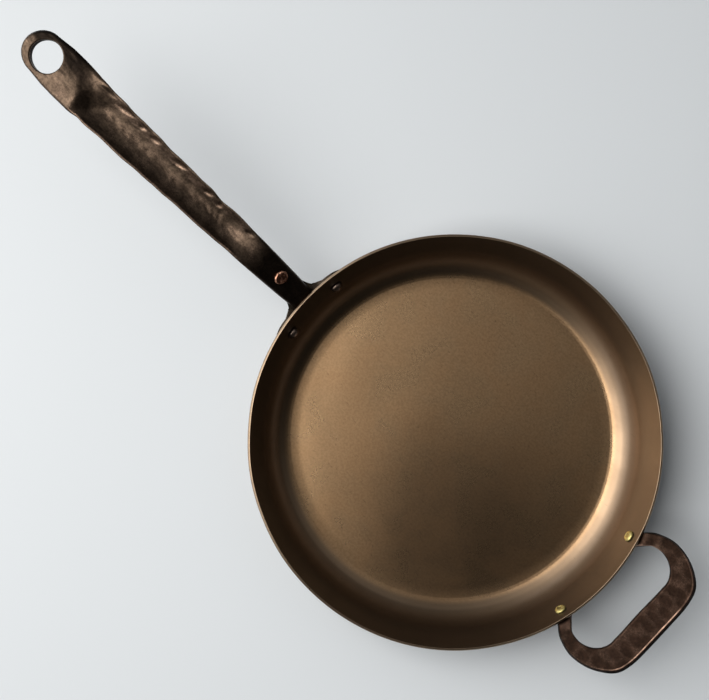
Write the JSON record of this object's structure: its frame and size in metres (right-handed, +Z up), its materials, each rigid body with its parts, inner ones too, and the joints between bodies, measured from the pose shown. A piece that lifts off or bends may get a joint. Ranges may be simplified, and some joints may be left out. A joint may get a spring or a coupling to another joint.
{
  "type": "skillet",
  "caption": "Spun-iron skillet with a flat floor and steep wall, a long trough-shaped forged handle with a hanging eye, and a flat loop handle opposite, all riveted.",
  "frame": {"origin": "centre of the pan's flat base, on the surface that it stands on", "axes": "+X along the long handle, +Z up, the loop handle points along -X"},
  "size_m": [0.6121, 0.305, 0.1173],
  "materials": {
    "pan_iron": "satin bronze-brown baked-oil finish on spun iron",
    "bracket_steel": "dull dark steel sheet",
    "handle_iron": "hammered dark brown forged iron with worn edges",
    "loop_iron": "dark red-brown forged iron with worn edges",
    "rivet_steel": "dark satin steel",
    "rivet_brass": "satin brass, dull at the edge",
    "rivet_copper": "hammered copper, darkened"
  },
  "bodies": {
    "root": {"pan_body": "pan_iron", "handle_bracket": "bracket_steel", "long_handle": "handle_iron", "loop_handle": "loop_iron", "bracket_rivet_left": "rivet_steel", "bracket_rivet_right": "rivet_steel", "loop_rivet_left": "rivet_brass", "loop_rivet_right": "rivet_brass", "handle_rivet": "rivet_copper"}
  },
  "joints": []
}
